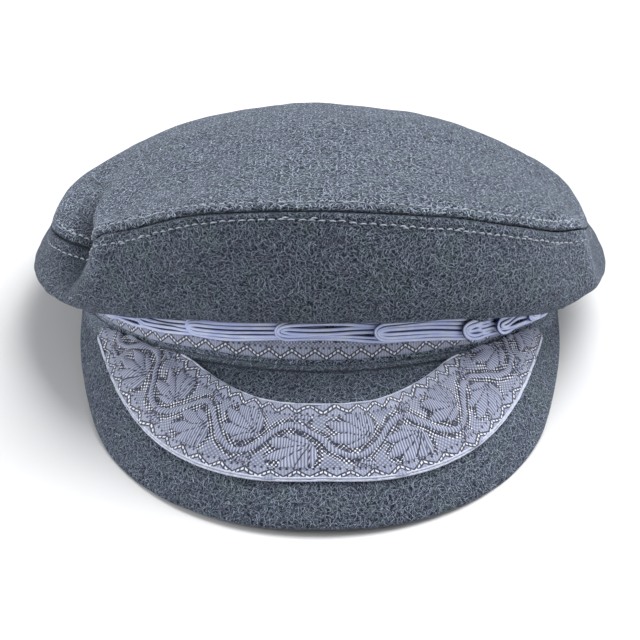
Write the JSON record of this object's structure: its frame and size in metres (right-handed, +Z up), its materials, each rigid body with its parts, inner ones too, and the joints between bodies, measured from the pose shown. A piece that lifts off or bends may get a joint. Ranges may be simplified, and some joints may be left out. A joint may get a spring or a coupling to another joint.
{
  "type": "skipper cap",
  "caption": "Soft wool skipper cap with a slouching crown, upright band, curved peak, woven ribbon trim and looped braid.",
  "frame": {"origin": "middle of the bounding box, on the surface that the cap rests on", "axes": "+Z up from the resting surface, -Y towards the peak, +X towards the viewer's right when facing the peak"},
  "size_m": [0.2244, 0.2618, 0.1024],
  "materials": {
    "crown_felt": "heathered grey-blue milled wool, matt, hairy",
    "band_felt": "heathered grey-blue milled wool, matt",
    "peak_felt": "heathered grey-blue milled wool over a stiff board, matt",
    "ribbon": "jacquard ribbon, lavender grey threads on a dark ground, slight sheen",
    "braid_cord": "lavender blue satin cord",
    "button_cover": "grey-blue wool cover, matt"
  },
  "bodies": {
    "root": {"crown_top": "crown_felt", "crown_side": "crown_felt", "headband": "band_felt", "peak": "peak_felt", "peak_ribbon": "ribbon", "band_ribbon": "ribbon", "braid": "braid_cord", "button_left": "button_cover", "button_right": "button_cover"}
  },
  "joints": []
}
